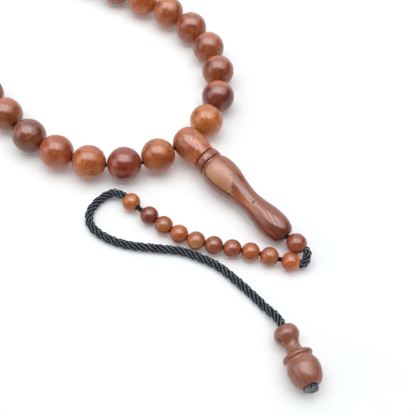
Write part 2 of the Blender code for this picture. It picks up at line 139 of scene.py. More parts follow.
# Small forms that only the looks have, in metres or as shares of a size
FOOT_FULLNESS = 2.3
MOUTH_EASE, MOUTH_RINGS = 0.09, ((0.0, 2.2), (0.25, 0.8))
SEPARATOR_EASE = 0.0002
SEPARATOR_EASE_DEPTH = 0.0003
SEPARATOR_FACE = 0.9
HEAD_CAP_RINGS = (0.02, 0.4, 0.75)
HEAD_BORE_DEPTH = 0.0020
HEAD_TOP_MARK = 0.0001
DRILL_REACH = 0.01
GROOVE_EASE = 0.0001
SANDED = 0.00014
SANDED_UNDER = radians(155)
TINY = 1e-9
BEAD_UNEVEN = 0.00003
SEPARATOR_UNEVEN = 0.00002
STEM_UNEVEN = 0.00004
FINIAL_UNEVEN = 0.00005
UNEVEN_SCALE = 260
UNEVEN_FROM = 0.001
UNEVEN_PER_SEED = (7.3, 3.1, 1.7)
LOOP_LAY = 0.0032
STEM_LAY = 0.0042
COUNTER_LAY = 0.0047
COUNTER_YARN_LAY = 0.0010
STRING_SPACING = 0.0004
PLY_SPREAD = 1.06
YARN_RADIUS = 0.185
YARN_WIDTH = 0.36
YARN_DEPTH = 0.26
SEAL_ASIDE = 0.00050
SEAL_TURN = radians(-15)
SEAL_RINGS = ((6, 0.36), (12, 0.74))
SEAL_TILT = 0.12
STUB_WIDTHS = (0.20, 0.25)
STUB_LENGTHS = (0.72, 1.0)
STUB_OUTLINE = [(0.92, 0.0), (1.0, 0.35), (1.04, 0.75), (0.96, 0.90), (0.72, 0.98), (0.30, 1.0)]

# Route of the tail, in metres from the stem's tip: counter_02, counter_01, then the rope
TAIL_ROUTE = [
    (-0.0391, 0.0039), (-0.0445, 0.0074), (-0.0470, 0.0094), (-0.0502, 0.0104),
    (-0.0536, 0.0083), (-0.0559, 0.0040), (-0.0549, -0.0004), (-0.0503, -0.0037),
    (-0.0440, -0.0054), (-0.0366, -0.0057), (-0.0292, -0.0059), (-0.0232, -0.0075),
    (-0.0179, -0.0098), (-0.0125, -0.0138), (-0.0080, -0.0176), (-0.0037, -0.0216),
    (-0.0018, -0.0237),
]

# Colour of each bead's wood, linear
BEAD_WOODS = {
    1: (0.510, 0.147, 0.034), 2: (0.206, 0.040, 0.023), 3: (0.304, 0.067, 0.028),
    4: (0.323, 0.082, 0.034), 5: (0.333, 0.080, 0.030), 6: (0.412, 0.112, 0.039),
    28: (0.274, 0.070, 0.023), 29: (0.225, 0.059, 0.027), 30: (0.392, 0.087, 0.025),
    31: (0.451, 0.112, 0.030), 32: (0.274, 0.044, 0.020), 33: (0.412, 0.103, 0.027),
}
COUNTER_WOODS = [
    (0.490, 0.135, 0.036), (0.235, 0.048, 0.025), (0.412, 0.112, 0.036), (0.470, 0.118, 0.033),
    (0.400, 0.100, 0.036), (0.314, 0.076, 0.033), (0.363, 0.087, 0.034), (0.421, 0.101, 0.031),
    (0.402, 0.103, 0.037), (0.519, 0.116, 0.037),
]
STEM_END_WOOD = (0.323, 0.063, 0.027)
HEAD_WOOD = (0.430, 0.110, 0.036)
SEPARATOR_WOOD = (0.200, 0.033, 0.014)
STEM_WOOD = (0.275, 0.063, 0.028)
LINE_WOOD = (0.110, 0.028, 0.020)
SAPWOOD = (0.590, 0.290, 0.200)
SAPWOOD_SHADE = (0.400, 0.160, 0.100)
SAPWOOD_EDGE = (0.560, 0.255, 0.105)
SAPWOOD_STREAK = (0.476, 0.19125, 0.08925)
STREAK_WOOD = (0.420, 0.130, 0.055)
SCAR_WOOD = (0.055, 0.018, 0.016)
FINIAL_WOOD = (0.280, 0.094, 0.054)
SPLIT_DARK = (0.012, 0.010, 0.012)
SPLIT_RAW = (0.560, 0.360, 0.230)

# Dark spots on the stem: centre, radii and turn, in its own metres, and their edge, in radii
SPOT_EDGE = (0.6, 1.3, 0.9, 0.0)
STEM_SPOTS = [
    ((-0.00352, 0.00142, 0.01398), (0.0005, 0.0005, 0.0007), 0.0),
    ((-0.00215, 0.00285, 0.01495), (0.0006, 0.0005, 0.00016), 0.1),
    ((-0.00165, 0.00310, 0.01550), (0.0005, 0.0005, 0.00014), -0.1),
    ((-0.00032, 0.00455, 0.01061), (0.00022, 0.0004, 0.00026), 0.0),
    ((-0.00192, 0.00442, 0.00902), (0.00014, 0.0003, 0.00018), 0.0),
    ((-0.00157, 0.00461, 0.00781), (0.00008, 0.0004, 0.00110), 0.443),
    ((-0.00066, 0.00315, 0.02060), (0.00062, 0.0006, 0.00016), 0.18),
]

# Where the stem's colours lie, as turns about its axis and heights in metres. The streak and
# the scar follow a slanting line, and their sides are turns away from it. A third value is how
# soft both limits are; a third and a fourth are the strengths at them.
TURN_WAVER = 0.36
TURN_STREAKED = 0.30
LINES_PER_TURN, LINES_ALONG = 15.0, 110.0
WAVER_NOISE, LINE_NOISE = (700.0, 3.0, 0.55), (1.0, 3.0, 0.55)
LINE_RANGE = (0.49, 0.62)
LINES_BEGIN = (0.0150, 0.0235, 0.0, 0.85)
# The foot's darker end: end grain, and painted shade where it meets the end bead
END_GRAIN_AND_SHADE = (0.0312, 0.0336, 0.0, 0.8)
STREAK_HEIGHTS = (0.0145, 0.0245)
STREAK_TURNS = (2.44, 2.26)
STREAK_SIDES = (-0.36, 0.24, 0.10)
STREAK_ENDS = (0.0145, 0.0228, 0.0028)
STREAK_STRENGTH = 0.8
PATCH_EDGE_HEIGHTS = (0.0102, 0.0158)
PATCH_EDGE_TURNS = (1.43, 2.60)
PATCH_TURNS = (0.0, 2.69, 0.05)
PATCH_BORDER = (-0.15, 0.20)
PATCH_BEGINS = (0.0032, 0.0042)
PATCH_ENDS = (0.0160, 0.0215, 1, 0)
PATCH_STRENGTH = 0.84
PATCH_DULLS = 0.40
SAP_LIGHTENS = (1.55, 2.15)
SAP_DEEPENS = (2.15, 2.55)
SAP_STREAKS = (0.35, 0.65, 0.0, 0.60)
RIM_TURNS = (2.72, 2.82, 0.04)
RIM_HEIGHTS = (0.0042, 0.0146, 0.0006)
SCAR_SIDES = (-0.08, 0.02, 0.05)
SCAR_HEIGHTS = (0.0100, 0.0154, 0.0010)
RIM_STRENGTH, SCAR_STRENGTH = 0.75, 0.6

# Grain of the wood: its noises (scale per metre, detail, roughness), how each is drawn out, and
# what it adds
ANY_TURN = 6.28
BEAD_FIGURE = 1.2
STEM_FIGURE, STEM_CONTRAST = 0.10, 0.55
FINIAL_FIGURE, FINIAL_CONTRAST = 0.2, 0.50
DRIFT_SCALE, DRIFT_REACH = 190.0, 0.0024
MOTTLE_SCALE, MOTTLE_SHARE = 240.0, 0.60
STREAK_NOISE, STREAK_DRAWN, STREAK_SHARE = (1500.0, 4.0, 0.6), (1, 1, 0.20), 0.55
FIBRE_NOISE, FIBRE_DRAWN, FIBRE_SHARE = (7200.0, 3.0, 0.6), (1, 1, 0.07), 0.60
PORE_NOISE, PORE_DRAWN, PORE_RANGE = (3000.0, 1.0, 0.4), (1, 1, 0.14), (0.67, 0.74)
PORE_SHADE, PORE_STRENGTH = (0.22, 0.16, 0.18), 0.7
GRAIN_RANGE = (0.60, 1.15)
GRAIN_DARK, GRAIN_PALE = (0.58, 0.46, 0.52), (1.32, 1.60, 1.30)
GRAIN_MIDDLE, GRAIN_MIDDLE_AT = (0.95, 0.92, 0.94), 0.45
# Painted shade round the mouths of the bores, where neighbouring pieces meet: its width, its strength
# and the factors that darken the colour
MOUTH_SHADE_WIDTH, MOUTH_SHADE_STRENGTH, MOUTH_SHADE_FACTORS = 0.0005, 0.6, (0.25, 0.25, 0.25)

# Polish of each wood: roughness of its smooth and its rough streaks, weight and roughness of
# the coat, and relief in metres
BEAD_FINISH = (0.12, 0.26, 0.30, 0.06, 0.000030)
STEM_FINISH = (0.11, 0.23, 0.20, 0.16, 0.000012)
FINIAL_FINISH = (0.24, 0.36, 0.15, 0.16, 0.000010)
PORE_DULLS, SCAR_DULLS = 0.20, 0.55
FIBRE_RISE, STREAK_RISE, PORE_SINK = 0.5, 1.1, 0.9
WOOD_IOR, COAT_IOR = 1.5, 1.4
NOISE_RANGE = (0.3, 0.7)

# Beads and counters paler on one side, colours linear. On the beads it is the side that lies uppermost,
# and there it is painted light from above; on counter_05 and counter_09 it lies elsewhere.
LIT_TOP_TOWARDS = Vector((0.0, 0.75, 0.66))
PALE_REACH = (0.71, 1.31)
PALE_WAVER = 0.32
PALE_STRENGTH = 0.9
PALE_SIDES_AND_LIT_TOPS = {
    "bead_02": (0.460, 0.125, 0.045), "bead_03": (0.400, 0.110, 0.045),
    "bead_04": (0.450, 0.125, 0.050), "bead_28": (0.440, 0.125, 0.042),
    "counter_05": (0.440, 0.165, 0.052), "counter_09": (0.420, 0.140, 0.048),
}
PALE_ELSEWHERE = {"counter_05": Vector((0.1, -0.75, 0.66)), "counter_09": Vector((0.7, 0.1, 0.7))}

# Grooves pressed into the turned wood: line of turns about the piece's axis and heights, width
# and depth, in metres
STEM_NICK = [(1.60, 0.02049), (1.96, 0.02073)], 0.00028, 0.00016
FINIAL_SPLIT = [(2.663, 0.00290), (2.780, 0.00575)], 0.00022, 0.00030
SPLIT_SIDES = (0.05, 0.10)
SPLIT_FADE = (0.0002, 0.0001)
SPLIT_RAW_BEGINS = (0.0038, 0.0042)
SPLIT_RAW_ENDS = (0.0051, 0.0054)

# Marks on single beads, in each bead's own metres: ends, half width, colour
MARK_EDGE, MARK_ENDS = (0.5, 1.2), (0.8, 1.2, 0.8, 0.0)
BEAD_MARKS = {
    1: [((-0.00405, 0.00225, -0.00185), (-0.00395, 0.00255, -0.00205), 0.00022, (0.05, 0.015, 0.010))],
    29: [((-0.00256, 0.00356, 0.00251), (0.00161, 0.00354, 0.00322), 0.00007, (0.52, 0.30, 0.20))],
    31: [((-0.00441, 0.00199, 0.00145), (-0.00375, 0.00198, 0.00275), 0.00016, (0.12, 0.02, 0.012)),
         ((-0.00436, 0.00110, 0.00230), (-0.00395, 0.00022, 0.00315), 0.00014, (0.14, 0.025, 0.014))],
}

# Fibre of the cords: colours, linear, and noises, per metre. The worn colours also carry painted light
# on the crests of the yarns, and black carries painted shade in the grooves between them.
CORD_BLACK = (0.004, 0.005, 0.008)
CORD_WORN_AND_LIT = (0.185, 0.203, 0.245)
STRING_WORN_AND_LIT = (0.035, 0.038, 0.045)
SEAL_GREY = (0.21, 0.22, 0.23)
WORN_AND_LIT_RANGE = (0.54, 1.06)
FILAMENT_DRAWN, FILAMENT_TURN = (2.2, 3.0, 1), (0, 0, 0.5)
FUZZ_NOISE, WEAR_NOISE, GRIT_NOISE = (5200.0, 3.0, 0.6), (420.0, 3.0, 0.6), (2600.0, 4.0, 0.65)
FILAMENT_SHADE, WEAR_SHADE, PAINTED_CREST_SHARE = 0.30, 0.5, 0.55
FILAMENT_RISE, FUZZ_RISE = 0.8, 0.5
CORD_ROUGHNESS, SEAL_ROUGHNESS = (0.30, 0.48), (0.28, 0.55)
MELT_SHARES, MELT_WAVER = (0.55, 0.9), 0.0007
GRIT_PITS = (0.52, 0.68, 0.0, 0.7)
CORD_RELIEF, SEAL_RELIEF = 0.00002, 0.00008
CORD_SPECULAR, CORD_GLINT = 0.14, (0.86, 0.92, 1.0, 1)
STRAND_UV, YARN_UV = 1000, 2000
# Place on the way round for a hidden core, in the painted shade of the grooves
GROOVE_SHADE_UV = 0.75

# Table and room: the paper, the light it adds where it is seen, by distance from the aim, and the glow
# it sends on to the pieces, painted light from below
TABLE_HALF = 3
TABLE_DROP = 0.00002
TABLE_PAPER = (0.836, 0.866, 0.881, 1)
GLOW_DISTANCES, GLOW_STRENGTHS = (0.35, 1.80), (0.13, 0.80)
UNDERLIGHT_GLOW = 0.45
HORIZON, HORIZON_RISE = (0.95, 0.95, 0.95), 0.10
ROOM = (0.07, 0.07, 0.07)

# Soft boxes: place from the aim, size, radiance for what it lights and for how bright it
# mirrors, and whether it hangs level. The lamp that lights stands behind the mirrored one.
MATTE_BEHIND = 0.12
LAMPS = {
    "ceiling": ((0.00, 0.90, 1.70), (5.20, 2.60), 0.72, 1.6, True),
    "diffuser": ((-0.05, 0.32, 1.64), (3.00, 1.68), 1.25, 2.2, True),
    "core": ((-0.20, 0.18, 1.60), (1.45, 1.30), 1.35, 0.0, True),
    **{f"window_{step}": ((0.54 * step - 1.28, 0.18, 1.58), (0.25, 1.30), 0.0, 5.4, True)
       for step in (1, 2, 3)},
    "left_panel": ((-1.50, -0.30, 0.70), (1.2, 1.0), 1.2, 2.1, False),
    "back_panel": ((-0.10, 2.60, 1.00), (5.0, 2.0), 0.0, 1.5, False),
}

# Seeds of the grain, the unevenness and the draws
CHOICE_SEED, SEAL_SEED = 33, 12
SEPARATOR_SEEDS, COUNTER_SEEDS, TIP_BEAD_SEED = 50, 60, 80
STEM_SEED, HEAD_SEED, FINIAL_SEED = 90, 91, 95

# Fineness of the turned and twisted pieces
BEAD_SEGMENTS = 64
BEAD_ARCS = 36
TURNED_SEGMENTS = 80
STEM_SEGMENTS = 176
STEM_STEPS = 80
CURVE_STEPS = 18
COLLAR_STEPS = 6
SANDED_STEPS = 3
ROUTE_STEPS = 24
START_STEPS = 8
KNOT_STEPS = 60
CABLE_PLIES, PLY_YARNS = 3, 2
YARN_SAMPLES, YARN_SIDES, CORE_SIDES = 16, 6, 10
STRING_PLIES, STRING_SIDES = 3, 8
STUB_SIDES = 12
DRILL_SEGMENTS = 40
SMOOTH_UNDER = radians(35)


def joint_place(name):
    found = JOINTS[name]
    return Vector(found["pos_m"]), Vector(found["axis"]).normalized()


def box_centre(name):
    low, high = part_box(name)
    return (Vector(low) + Vector(high)) / 2


def strung_place(name):
    """A strung piece's centre and the direction of its bore."""
    if name + "_spin" in JOINTS:
        return joint_place(name + "_spin")
    return box_centre(name), Vector(JOINTS[name + "_slide"]["axis"]).normalized()


def facing(place, axis, front="Z"):
    """A frame at a place whose front follows the axis and whose Y leans upward."""
    return Matrix.Translation(place) @ axis.to_track_quat(front, "Y").to_matrix().to_4x4()


IMAM_SEAT, IMAM_AXIS = joint_place("imam_stem_spin")
STRING_HOLE = IMAM_SEAT - IMAM_AXIS * (FACE_GAP + HEAD_BELLY_TO_SEAT + HEAD_HOLE_TO_BELLY)
LOOK_AT = (STRING_HOLE.xy + HOLE_TO_AIM).to_3d()


def smooth_points(points):
    """Points on a Catmull-Rom curve through all of the given ones."""
    points = [Vector(point) for point in points]
    ends = [2 * points[0] - points[1]] + points + [2 * points[-1] - points[-2]]
    found = []
    for before, start, end, after in zip(ends, ends[1:], ends[2:], ends[3:]):
        for step in range(ROUTE_STEPS):
            t = step / ROUTE_STEPS
            found.append(0.5 * (
                2 * start + (end - before) * t
                + (2 * before - 5 * start + 4 * end - after) * t ** 2
                + (3 * start - before - 3 * end + after) * t ** 3))
    return found + [points[-1]]


def level(share):
    share = min(1, max(0, share))
    return share ** 2 * (3 - 2 * share)


# Material building

def plug(target, inputs):
    """Sets a node's inputs, each to a value or to another node's output."""
    for key, value in inputs.items():
        if isinstance(value, bpy.types.NodeSocket):
            target.id_data.links.new(value, target.inputs[key])
        else:
            target.inputs[key].default_value = value


def node(tree, kind, inputs=None, **settings):
    made = tree.nodes.new("ShaderNode" + kind)
    for name, value in settings.items():
        setattr(made, name, value)
    plug(made, inputs or {})
    return made


def maths(operation, *values, clamp=False):
    inputs = dict(enumerate(values))
    return node(values[0].id_data, "Math", inputs, operation=operation, use_clamp=clamp).outputs[0]


times = partial(maths, "MULTIPLY")
times_plus = partial(maths, "MULTIPLY_ADD")
minus = partial(maths, "SUBTRACT")
greater = partial(maths, "MAXIMUM")


def vectors(operation, *values):
    inputs = dict(enumerate(values))
    return node(values[0].id_data, "VectorMath", inputs, operation=operation).outputs


def new_material(name):
    material = bpy.data.materials.new(name)
    material.use_nodes = True
    return material, material.node_tree, material.node_tree.nodes["Principled BSDF"]


def own_space(tree):
    return node(tree, "TexCoord").outputs["Object"]


def parts(place):
    return node(place.id_data, "SeparateXYZ", {0: place}).outputs


def noise_of(place, scale, detail=2.0, roughness=0.5):
    return node(place.id_data, "TexNoise", {
        "Vector": place, "Scale": scale, "Detail": detail, "Roughness": roughness}).outputs["Fac"]


def squeezed(place, scale, offset=(0, 0, 0), turn=(0, 0, 0), kind="POINT"):
    return node(place.id_data, "Mapping", {
        "Vector": place, "Location": offset, "Rotation": turn, "Scale": scale},
        vector_type=kind).outputs[0]


def ramp(value, low, high, start=0.0, end=1.0):
    return node(value.id_data, "MapRange", {
        "Value": value, "From Min": low, "From Max": high, "To Min": start, "To Max": end},
        interpolation_type="SMOOTHSTEP").outputs[0]


def between(value, low, high, soft):
    rise = ramp(value, low - soft, low + soft)
    return times(rise, ramp(value, high - soft, high + soft, 1, 0))


def mixed(factor, first, second):
    made = node(factor.id_data, "Mix", {"Factor": factor}, data_type="RGBA")
    for socket, colour in ((6, first), (7, second)):
        linked = isinstance(colour, bpy.types.NodeSocket)
        plug(made, {socket: colour if linked else (*colour, 1)})
    return made.outputs[2]


def scaled(colour, factors):
    return tuple(value * factor for value, factor in zip(colour, factors))


def blob(place, centre, radii, turn=(0, 0, 0)):
    """How far a point lies from a centre, counted in the radii of an ellipsoid there."""
    return vectors("LENGTH", squeezed(place, radii, centre, turn, "TEXTURE"))["Value"]


def bumped(height, relief):
    return node(height.id_data, "Bump", {"Height": height, "Distance": relief}).outputs[0]


def wood_layers(tree, colour, seed, figure, contrast=1.0):
    """Grain of a dense polished wood in a piece's own space: its colour, and values for
    its streaks, its fibres and its pores."""

    def toned(factors):
        return (*scaled(colour, [1 + (factor - 1) * contrast for factor in factors]), 1)

    chance = random.Random(seed)
    own = own_space(tree)
    offset = [chance.uniform(-1, 1) for _ in range(3)]
    lean = [chance.uniform(-figure, figure) for _ in range(2)]
    place = squeezed(own, (1, 1, 1), offset, lean + [chance.uniform(0, ANY_TURN)])
    drift = node(tree, "TexNoise", {"Vector": place, "Scale": DRIFT_SCALE})
    drift = vectors("SUBTRACT", drift.outputs["Color"], (0.5, 0.5, 0.5))["Vector"]
    drift = node(tree, "VectorMath", {0: drift, "Scale": DRIFT_REACH}, operation="SCALE").outputs[0]
    bent = vectors("ADD", place, drift)["Vector"]
    mottle = noise_of(bent, MOTTLE_SCALE)
    streak = noise_of(squeezed(bent, STREAK_DRAWN), *STREAK_NOISE)
    fibre = noise_of(squeezed(bent, FIBRE_DRAWN), *FIBRE_NOISE)
    pores = noise_of(squeezed(bent, PORE_DRAWN), *PORE_NOISE)
    pores = ramp(pores, *PORE_RANGE)
    grain = times_plus(mottle, MOTTLE_SHARE, times(streak, STREAK_SHARE))
    grain = times_plus(fibre, FIBRE_SHARE, grain)
    shade = node(tree, "ValToRGB", {"Fac": ramp(grain, *GRAIN_RANGE)})
    steps = shade.color_ramp.elements
    steps[0].color, steps[1].color = toned(GRAIN_DARK), toned(GRAIN_PALE)
    steps.new(GRAIN_MIDDLE_AT).color = toned(GRAIN_MIDDLE)
    tint = mixed(times(pores, PORE_STRENGTH), shade.outputs[0], scaled(colour, PORE_SHADE))
    return own, tint, (streak, fibre, pores)


def finish_wood(shader, tint, layers, finish, dulled=None):
    """Polish over the grain. Streaks, pores and dulled places break the gloss up."""
    streak, fibre, pores = layers
    smooth, rough, coat, coat_rough, relief = finish
    dull = ramp(streak, *NOISE_RANGE, smooth, rough)
    dull = times_plus(pores, PORE_DULLS, dull)
    if dulled:
        dull = times_plus(dulled, SCAR_DULLS, dull)
    height = times_plus(fibre, FIBRE_RISE, times(streak, STREAK_RISE))
    height = times_plus(pores, -PORE_SINK, height)
    plug(shader, {
        "Base Color": tint, "Roughness": dull, "Normal": bumped(height, relief),
        "IOR": WOOD_IOR, "Coat Weight": coat, "Coat Roughness": coat_rough, "Coat IOR": COAT_IOR})


def bead_wood(name, colour, seed, mouth, marks=(), pale=None):
    """Polished bead wood, with painted shade round the mouth of the bore, where the neighbouring pieces
    meet it. A pale side has the place of its middle and a colour; where it lies uppermost on a bead it
    is painted light from above."""
    material, tree, shader = new_material(name)
    own, tint, layers = wood_layers(tree, colour, seed, BEAD_FIGURE)
    # the pale side: where it lies uppermost on a bead it is painted light from above
    if pale:
        middle, shade = pale
        near = vectors("DISTANCE", own, middle)["Value"]
        near = times_plus(layers[0], middle.length * PALE_WAVER, near)
        reach = [middle.length * share for share in PALE_REACH]
        tint = mixed(ramp(near, *reach, PALE_STRENGTH, 0.0), tint, shade)
    from_axis = vectors("LENGTH", squeezed(own, (1, 1, 0)))["Value"]
    # painted shade round the mouth of the bore, where the neighbouring pieces meet the wood
    rim = ramp(from_axis, mouth / 2, mouth / 2 + MOUTH_SHADE_WIDTH, MOUTH_SHADE_STRENGTH, 0.0)
    tint = mixed(rim, tint, scaled(colour, MOUTH_SHADE_FACTORS))
    for start, end, width, shade in marks:
        start, end = Vector(start), Vector(end)
        off = vectors("DOT_PRODUCT", own, start.cross(end).normalized())["Value"]
        edge = [width * share for share in MARK_EDGE]
        line = ramp(maths("ABSOLUTE", off), *edge, 1, 0)
        reach = (end - start).length / 2
        ends = ramp(blob(own, (start + end) / 2, (reach,) * 3), *MARK_ENDS)
        tint = mixed(times(line, ends), tint, shade)
    finish_wood(shader, tint, layers, BEAD_FINISH)
    return material


def stem_wood(name, seed):
    """The imam's wood: a pale patch of sapwood on the bulb, scarred along its edge, an orange streak
    running on from it, and dark lines along the foot. The foot's end is darker: end grain, and painted
    shade where it meets the end bead."""
    material, tree, shader = new_material(name)
    own, tint, layers = wood_layers(tree, STEM_WOOD, seed, STEM_FIGURE, STEM_CONTRAST)
    streak = layers[0]
    waver = minus(noise_of(own, *WAVER_NOISE), 0.5)
    x, y, along = parts(own)
    angle = maths("ARCTAN2", y, x)
    turn = times_plus(waver, TURN_WAVER, angle)
    turn = times_plus(minus(streak, 0.5), TURN_STREAKED, turn)

    rings = node(tree, "CombineXYZ", {
        0: times(angle, LINES_PER_TURN), 1: times(along, LINES_ALONG)}).outputs[0]
    lines = ramp(noise_of(rings, *LINE_NOISE), *LINE_RANGE)
    lines = times(lines, ramp(along, *LINES_BEGIN))
    tint = mixed(lines, tint, LINE_WOOD)
    # the foot's end: darker end grain, and painted shade where it meets the end bead
    tint = mixed(ramp(along, *END_GRAIN_AND_SHADE), tint, LINE_WOOD)

    run = ramp(along, *STREAK_HEIGHTS, *STREAK_TURNS)
    run = between(minus(turn, run), *STREAK_SIDES)
    run = times(run, between(along, *STREAK_ENDS))
    tint = mixed(times(run, STREAK_STRENGTH), tint, STREAK_WOOD)

    edge = ramp(along, *PATCH_EDGE_HEIGHTS, *PATCH_EDGE_TURNS)
    from_edge = minus(turn, edge)
    patch = times(between(turn, *PATCH_TURNS), ramp(from_edge, *PATCH_BORDER))
    patch = times(patch, ramp(along, *PATCH_BEGINS))
    patch = times(patch, ramp(along, *PATCH_ENDS))
    sap = mixed(ramp(turn, *SAP_LIGHTENS), SAPWOOD_SHADE, SAPWOOD)
    sap = mixed(ramp(turn, *SAP_DEEPENS), sap, SAPWOOD_EDGE)
    sap = mixed(ramp(streak, *SAP_STREAKS), sap, SAPWOOD_STREAK)
    tint = mixed(times(patch, PATCH_STRENGTH), tint, sap)

    rim = times(between(turn, *RIM_TURNS), between(along, *RIM_HEIGHTS))
    line = between(from_edge, *SCAR_SIDES)
    line = times(line, between(along, *SCAR_HEIGHTS))
    scars = greater(times(rim, RIM_STRENGTH), times(line, SCAR_STRENGTH))
    for centre, radii, spin in STEM_SPOTS:
        spot = ramp(blob(own, centre, radii, (0, spin, 0)), *SPOT_EDGE)
        scars = greater(scars, spot)
    tint = mixed(scars, tint, SCAR_WOOD)
    dulled = greater(scars, times(patch, PATCH_DULLS))
    finish_wood(shader, tint, layers, STEM_FINISH, dulled)
    return material


def finial_wood(name, seed):
    """The finial's duller wood, with a split down its neck: dark at both ends, raw between."""
    material, tree, shader = new_material(name)
    own, tint, layers = wood_layers(tree, FINIAL_WOOD, seed, FINIAL_FIGURE, FINIAL_CONTRAST)
    x, y, along = parts(own)
    (first_turn, first), (last_turn, last) = FINIAL_SPLIT[0]
    run = node(tree, "MapRange", {
        "Value": along, "From Min": first, "From Max": last,
        "To Min": first_turn, "To Max": last_turn}).outputs[0]
    off = maths("ABSOLUTE", minus(maths("ARCTAN2", y, x), run))
    outer, inner = SPLIT_FADE
    inside = times(
        ramp(along, first - outer, first + inner), ramp(along, last - inner, last + outer, 1, 0))
    split = times(ramp(off, *SPLIT_SIDES, 1, 0), inside)
    raw = times(ramp(along, *SPLIT_RAW_BEGINS), ramp(along, *SPLIT_RAW_ENDS, 1, 0))
    tint = mixed(split, tint, mixed(raw, SPLIT_DARK, SPLIT_RAW))
    finish_wood(shader, tint, layers, FINIAL_FINISH, split)
    return material


def cord_fibre(name, worn_and_lit):
    """Black twisted fibre, laid by the piece's UV, which runs along each strand and round it. Round
    each strand the colour is painted lighter on the crest and darker in the grooves, as painted light
    and painted shade, besides the fibre's own wear.
    """
    material, tree, shader = new_material(name)
    strand = node(tree, "UVMap", uv_map="strand").outputs[0]
    own = own_space(tree)
    lay = squeezed(strand, FILAMENT_DRAWN, turn=FILAMENT_TURN)
    filaments = node(tree, "TexWave", {
        "Vector": lay, "Scale": 1.0, "Distortion": 1.5, "Detail Scale": 3.0},
        bands_direction="Y").outputs["Fac"]
    fuzz = noise_of(own, *FUZZ_NOISE)
    wear = noise_of(own, *WEAR_NOISE)
    # painted light on the crest of each strand, painted shade in its grooves
    lit_crest = maths("SINE", times(parts(strand)["Y"], 2 * pi))
    shade = times_plus(filaments, FILAMENT_SHADE, times(wear, WEAR_SHADE))
    shade = times_plus(lit_crest, PAINTED_CREST_SHARE, shade)
    height = times_plus(filaments, FILAMENT_RISE, times(fuzz, FUZZ_RISE))
    plug(shader, {
        "Base Color": mixed(ramp(shade, *WORN_AND_LIT_RANGE), CORD_BLACK, worn_and_lit),
        "Roughness": ramp(fuzz, *NOISE_RANGE, *CORD_ROUGHNESS),
        "Normal": bumped(height, CORD_RELIEF),
        "Specular IOR Level": CORD_SPECULAR, "Specular Tint": CORD_GLINT})
    return material


def seal_fibre():
    """The rope's fibre melted grey and dusty at its cut end."""
    material, tree, shader = new_material("seal_grey")
    own = own_space(tree)
    grit = noise_of(own, *GRIT_NOISE)
    melted = times_plus(minus(grit, 0.5), MELT_WAVER, parts(own)["Z"])
    melted = ramp(melted, *(SEAL_LENGTH * share for share in MELT_SHARES))
    tint = mixed(melted, CORD_BLACK, SEAL_GREY)
    plug(shader, {
        "Base Color": mixed(ramp(grit, *GRIT_PITS), tint, CORD_BLACK),
        "Roughness": ramp(grit, *NOISE_RANGE, *SEAL_ROUGHNESS),
        "Normal": bumped(grit, SEAL_RELIEF)})
    return material


# Shapes

def add_object(name, data, place):
    thing = bpy.data.objects.new(name, data)
    bpy.context.scene.collection.objects.link(thing)
    thing.matrix_world = place
    return thing


def add_piece(mesh, body, material, stands_for, place=Matrix.Identity(4)):
    thing = add_object(mesh.name, mesh, place)
    mesh.materials.append(material)
    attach(thing, body)
    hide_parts(stands_for)
    return thing


def bend(outline, radius, height, steps, across, along):
    """Carries an outline on to a radius and a height, each by its own easing."""
    first_radius, first_height = outline[-1]
    for step in range(1, steps + 1):
        outline.append((
            first_radius + (radius - first_radius) * across(step / steps),
            first_height + (height - first_height) * along(step / steps)))


def swell(outline, radius, height, steps=CURVE_STEPS):
    bend(outline, radius, height, steps, lambda s: (1 - cos(pi * s)) / 2, lambda s: s)


def round_over(outline, radius, height, steps=CURVE_STEPS, fullness=2.0):
    """Rounds an outline over, as an ellipse or, where it is fuller, a squarer curve."""
    power = 2 / fullness
    bend(outline, radius, height, steps,
         lambda s: 1 - abs(cos(pi / 2 * s)) ** power, lambda s: sin(pi / 2 * s) ** power)


def round_out(outline, radius, height, steps=CURVE_STEPS):
    bend(outline, radius, height, steps, lambda s: sin(pi / 2 * s), lambda s: 1 - cos(pi / 2 * s))


def soften(outline):
    """Rounds an outline's corners, as sanding does."""
    soft = [outline[0]]
    for before, corner, after in zip(outline, outline[1:], outline[2:]):
        before, corner, after = Vector(before), Vector(corner), Vector(after)
        back, ahead = before - corner, after - corner
        if min(back.length, ahead.length) < TINY or back.angle(ahead) > SANDED_UNDER:
            soft.append(tuple(corner))
            continue
        start = corner + back.normalized() * min(SANDED, back.length / 2)
        end = corner + ahead.normalized() * min(SANDED, ahead.length / 2)
        for step in range(SANDED_STEPS + 1):
            t = step / SANDED_STEPS
            soft.append(tuple((1 - t) ** 2 * start + 2 * t * (1 - t) * corner + t ** 2 * end))
    return soft + [outline[-1]]


def skin(shape, rings, closed):
    """Joins each ring of corners to the next with faces, and the last to the first or caps both."""
    for ring, following in zip(rings, rings[1:] + rings[:1] if closed else rings[1:]):
        for step in range(len(ring)):
            after = (step + 1) % len(ring)
            shape.faces.new((ring[step], ring[after], following[after], following[step]))
    if not closed:
        shape.faces.new(rings[0][::-1])
        shape.faces.new(rings[-1])


def circle(radius, height, sides):
    turns = (2 * pi * step / sides for step in range(sides))
    return [Vector((radius * cos(turn), radius * sin(turn), height)) for turn in turns]


def smooth(mesh):
    mesh.shade_smooth()
    mesh.set_sharp_from_angle(angle=SMOOTH_UNDER)
    return mesh


def made_mesh(name, shape):
    mesh = bpy.data.meshes.new(name)
    shape.to_mesh(mesh)
    shape.free()
    return smooth(mesh)


def turned(name, outline, segments, seed, uneven, bored=True):
    """A mesh turned about Z, slightly uneven as handwork is."""
    drift = Vector([seed * step for step in UNEVEN_PER_SEED])
    shape = bmesh.new()
    rings = []
    for radius, height in outline:
        ring = circle(radius, height, segments)
        for point in ring:
            waver = noise.noise(point * UNEVEN_SCALE + drift) * uneven
            point.xy *= 1 + waver / max(radius, UNEVEN_FROM)
        rings.append([shape.verts.new(point) for point in ring])
    skin(shape, rings, bored)
    bmesh.ops.recalc_face_normals(shape, faces=shape.faces)
    return made_mesh(name, shape)


